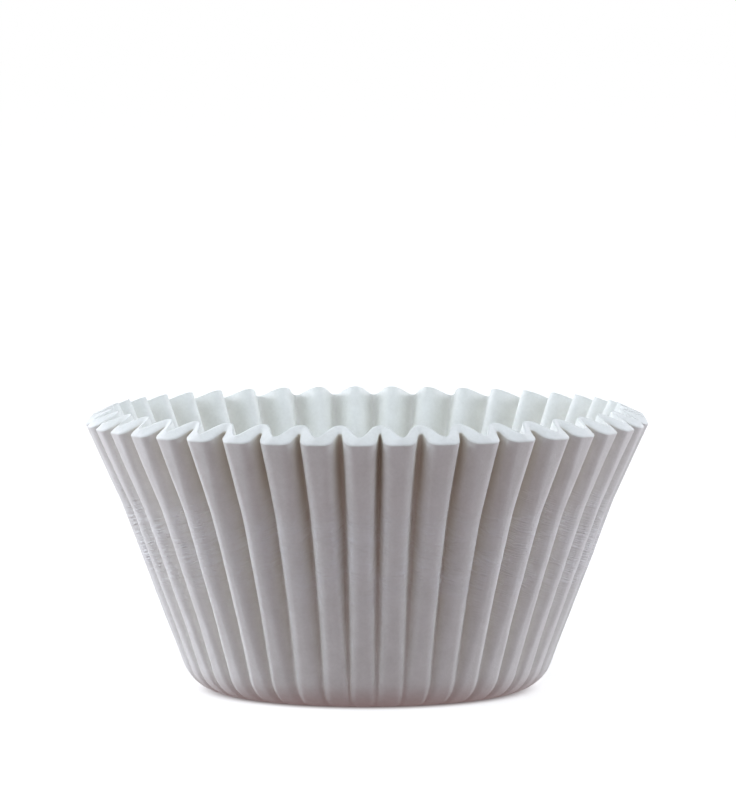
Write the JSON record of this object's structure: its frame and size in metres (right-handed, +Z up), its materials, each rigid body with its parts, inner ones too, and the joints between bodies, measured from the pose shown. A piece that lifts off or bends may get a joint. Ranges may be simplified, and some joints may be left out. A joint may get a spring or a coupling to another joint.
{
  "type": "cupcake liner",
  "caption": "Round fluted paper baking cup with a flat floor, a rounded lower corner and a flaring wall of upright pleats, open at the top.",
  "frame": {"origin": "centre of the floor's underside, on the surface that the cup stands on", "axes": "+Z up along the cup's axis, out of the open mouth"},
  "size_m": [0.0926, 0.0926, 0.0469],
  "materials": {
    "paper": "matte white greaseproof"
  },
  "bodies": {
    "root": {"paper_cup": "paper"}
  },
  "joints": []
}
